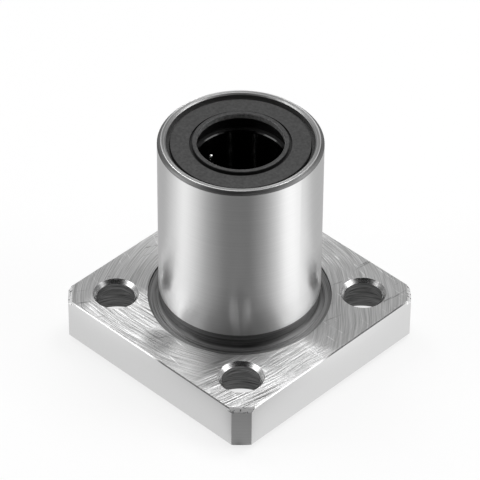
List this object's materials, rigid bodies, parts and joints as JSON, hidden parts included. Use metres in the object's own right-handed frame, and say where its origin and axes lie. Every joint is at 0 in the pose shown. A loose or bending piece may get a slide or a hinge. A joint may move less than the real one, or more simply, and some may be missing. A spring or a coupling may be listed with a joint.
{
  "type": "flanged linear ball bearing",
  "caption": "Square-flanged linear ball bearing with a ground steel sleeve, seals at both ends and recirculating ball circuits that run on a round shaft.",
  "frame": {"origin": "centre of the flange's outer face, on the bore's axis", "axes": "+Z along the bore from the flange up the tube; X and Y parallel to the flange's sides"},
  "size_m": [0.03, 0.03, 0.029],
  "materials": {
    "ground_bearing_steel": "turned, hardened and ground; scratch-brushed on the flange",
    "moulded_cage": "moulded, satin",
    "seal_rubber": "moulded, fine matt",
    "ring_steel": "phosphated spring steel, oiled",
    "ball_steel": "lapped and polished"
  },
  "bodies": {
    "housing": {"flanged_sleeve": "ground_bearing_steel", "ball_cage": "moulded_cage", "upper_seal": "seal_rubber", "lower_seal": "seal_rubber", "upper_retaining_ring": "ring_steel", "lower_retaining_ring": "ring_steel"},
    "loaded_balls_1": {"loaded_balls_1": "ball_steel"},
    "return_balls_1": {"return_balls_1": "ball_steel"},
    "upper_turn_balls_1": {"upper_turn_balls_1": "ball_steel"},
    "lower_turn_balls_1": {"lower_turn_balls_1": "ball_steel"},
    "loaded_balls_2": {"loaded_balls_2": "ball_steel"},
    "return_balls_2": {"return_balls_2": "ball_steel"},
    "upper_turn_balls_2": {"upper_turn_balls_2": "ball_steel"},
    "lower_turn_balls_2": {"lower_turn_balls_2": "ball_steel"},
    "loaded_balls_3": {"loaded_balls_3": "ball_steel"},
    "return_balls_3": {"return_balls_3": "ball_steel"},
    "upper_turn_balls_3": {"upper_turn_balls_3": "ball_steel"},
    "lower_turn_balls_3": {"lower_turn_balls_3": "ball_steel"},
    "loaded_balls_4": {"loaded_balls_4": "ball_steel"},
    "return_balls_4": {"return_balls_4": "ball_steel"},
    "upper_turn_balls_4": {"upper_turn_balls_4": "ball_steel"},
    "lower_turn_balls_4": {"lower_turn_balls_4": "ball_steel"}
  },
  "joints": [
    {"name": "loaded_row_1", "type": "slide", "parent": "housing", "child": "loaded_balls_1", "axis": [0, 0, -1], "range_m": [0, 0.00205]},
    {"name": "return_row_1", "type": "slide", "parent": "housing", "child": "return_balls_1", "axis": [0, 0, 1], "range_m": [0, 0.00205]},
    {"name": "upper_turn_1", "type": "hinge", "parent": "housing", "child": "upper_turn_balls_1", "pos_m": [-0.00583, -0.00131, 0.0227], "axis": [-0.9635, -0.0678, -0.2588], "range_deg": [0, 60.01]},
    {"name": "lower_turn_1", "type": "hinge", "parent": "housing", "child": "lower_turn_balls_1", "pos_m": [-0.00583, -0.00131, 0.0063], "axis": [-0.9635, -0.0678, 0.2588], "range_deg": [0, 60.01]},
    {"name": "loaded_row_2", "type": "slide", "parent": "housing", "child": "loaded_balls_2", "axis": [0, 0, -1], "range_m": [0, 0.00205]},
    {"name": "return_row_2", "type": "slide", "parent": "housing", "child": "return_balls_2", "axis": [0, 0, 1], "range_m": [0, 0.00205]},
    {"name": "upper_turn_2", "type": "hinge", "parent": "housing", "child": "upper_turn_balls_2", "pos_m": [0.00131, -0.00583, 0.0227], "axis": [0.0678, -0.9635, -0.2588], "range_deg": [0, 60.01]},
    {"name": "lower_turn_2", "type": "hinge", "parent": "housing", "child": "lower_turn_balls_2", "pos_m": [0.00131, -0.00583, 0.0063], "axis": [0.0678, -0.9635, 0.2588], "range_deg": [0, 60.01]},
    {"name": "loaded_row_3", "type": "slide", "parent": "housing", "child": "loaded_balls_3", "axis": [0, 0, -1], "range_m": [0, 0.00205]},
    {"name": "return_row_3", "type": "slide", "parent": "housing", "child": "return_balls_3", "axis": [0, 0, 1], "range_m": [0, 0.00205]},
    {"name": "upper_turn_3", "type": "hinge", "parent": "housing", "child": "upper_turn_balls_3", "pos_m": [0.00583, 0.00131, 0.0227], "axis": [0.9635, 0.0678, -0.2588], "range_deg": [0, 60.01]},
    {"name": "lower_turn_3", "type": "hinge", "parent": "housing", "child": "lower_turn_balls_3", "pos_m": [0.00583, 0.00131, 0.0063], "axis": [0.9635, 0.0678, 0.2588], "range_deg": [0, 60.01]},
    {"name": "loaded_row_4", "type": "slide", "parent": "housing", "child": "loaded_balls_4", "axis": [0, 0, -1], "range_m": [0, 0.00205]},
    {"name": "return_row_4", "type": "slide", "parent": "housing", "child": "return_balls_4", "axis": [0, 0, 1], "range_m": [0, 0.00205]},
    {"name": "upper_turn_4", "type": "hinge", "parent": "housing", "child": "upper_turn_balls_4", "pos_m": [-0.00131, 0.00583, 0.0227], "axis": [-0.0678, 0.9635, -0.2588], "range_deg": [0, 60.01]},
    {"name": "lower_turn_4", "type": "hinge", "parent": "housing", "child": "lower_turn_balls_4", "pos_m": [-0.00131, 0.00583, 0.0063], "axis": [-0.0678, 0.9635, 0.2588], "range_deg": [0, 60.01]}
  ],
  "couplings": [
    {"joint": "upper_turn_1", "follows": "loaded_row_1", "rad_per_m": 510.83},
    {"joint": "lower_turn_1", "follows": "loaded_row_1", "rad_per_m": 510.83},
    {"joint": "return_row_1", "follows": "loaded_row_1", "ratio": 1},
    {"joint": "upper_turn_2", "follows": "loaded_row_2", "rad_per_m": 510.83},
    {"joint": "lower_turn_2", "follows": "loaded_row_2", "rad_per_m": 510.83},
    {"joint": "return_row_2", "follows": "loaded_row_2", "ratio": 1},
    {"joint": "upper_turn_3", "follows": "loaded_row_3", "rad_per_m": 510.83},
    {"joint": "lower_turn_3", "follows": "loaded_row_3", "rad_per_m": 510.83},
    {"joint": "return_row_3", "follows": "loaded_row_3", "ratio": 1},
    {"joint": "upper_turn_4", "follows": "loaded_row_4", "rad_per_m": 510.83},
    {"joint": "lower_turn_4", "follows": "loaded_row_4", "rad_per_m": 510.83},
    {"joint": "return_row_4", "follows": "loaded_row_4", "ratio": 1}
  ]
}
